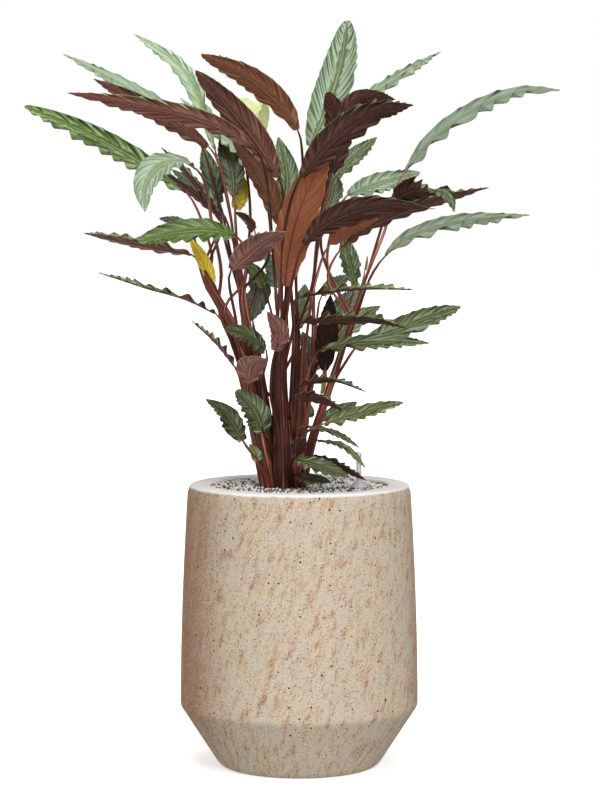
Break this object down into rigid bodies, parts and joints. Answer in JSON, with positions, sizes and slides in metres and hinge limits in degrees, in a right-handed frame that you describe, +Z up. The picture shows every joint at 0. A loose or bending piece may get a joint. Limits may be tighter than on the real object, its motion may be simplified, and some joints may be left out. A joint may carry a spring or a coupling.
{
  "type": "potted wavestar calathea",
  "caption": "Bushy prayer plant with waved lance-shaped leaves, silvery green above and plum below, in a barrel-shaped stone-look planter with gravel and a water gauge.",
  "frame": {"origin": "centre of the planter's flat base, on the surface that it stands on", "axes": "+Z up along the planter's axis, -Y towards the front as pictured, +X to the right as seen from the front"},
  "size_m": [0.8806, 0.4309, 1.2103],
  "materials": {
    "stone": "matt cast stone, beige with rust-brown streaks, fine speckles and small pits, with a smooth off-white rim",
    "soil": "dark, damp potting mix",
    "gravel": "fine washed gravel of pale, cream and brown-grey grains",
    "clear_plastic": "clear, faintly grey glossy plastic",
    "red_plastic": "red plastic",
    "stalk": "reddish-brown, faintly ridged and satin stalks and sheaths",
    "leaf_silver": "silvery green, ribbed and softly glossy leaf with a dark mauve-brown underside",
    "leaf_green": "mid green, ribbed and softly glossy leaf with a dark mauve-brown underside",
    "leaf_dark": "dark green, ribbed leaf with a dark mauve-brown underside",
    "leaf_lime": "light yellow-green, lit leaf",
    "leaf_plum": "leaf that shows its velvety, dark mauve-brown underside",
    "leaf_russet": "leaf that shows its reddish-brown underside",
    "leaf_copper": "leaf that shows its orange-brown underside, lit through"
  },
  "bodies": {
    "root": {"pot": "stone", "soil": "soil", "gravel": "gravel", "gauge_collar": "clear_plastic", "gauge_tube": "clear_plastic", "gauge_float": "red_plastic", "stalks": "stalk", "leaf_01": "leaf_green", "leaf_02": "leaf_silver", "leaf_03": "leaf_plum", "leaf_04": "leaf_plum", "leaf_05": "leaf_plum", "leaf_06": "leaf_silver", "leaf_07": "leaf_silver", "leaf_08": "leaf_silver", "leaf_09": "leaf_plum", "leaf_10": "leaf_russet", "leaf_11": "leaf_russet", "leaf_12": "leaf_lime", "leaf_13": "leaf_green", "leaf_14": "leaf_dark", "leaf_15": "leaf_green", "leaf_16": "leaf_plum", "leaf_17": "leaf_green", "leaf_18": "leaf_plum", "leaf_19": "leaf_green", "leaf_20": "leaf_green", "leaf_21": "leaf_dark", "leaf_22": "leaf_dark", "leaf_23": "leaf_plum", "leaf_24": "leaf_plum", "leaf_25": "leaf_dark", "leaf_26": "leaf_dark", "leaf_27": "leaf_copper", "leaf_28": "leaf_silver", "leaf_29": "leaf_plum", "leaf_30": "leaf_plum", "leaf_31": "leaf_silver", "leaf_32": "leaf_silver", "leaf_33": "leaf_silver", "leaf_34": "leaf_green", "leaf_35": "leaf_green", "leaf_36": "leaf_plum", "leaf_37": "leaf_plum", "leaf_38": "leaf_plum", "leaf_39": "leaf_silver", "leaf_40": "leaf_green", "leaf_41": "leaf_plum", "leaf_42": "leaf_plum", "leaf_43": "leaf_green", "leaf_44": "leaf_green", "leaf_45": "leaf_plum", "leaf_46": "leaf_silver", "leaf_47": "leaf_green", "leaf_48": "leaf_plum", "leaf_49": "leaf_plum", "leaf_50": "leaf_dark", "leaf_51": "leaf_plum", "leaf_52": "leaf_dark", "leaf_53": "leaf_dark"}
  },
  "joints": []
}
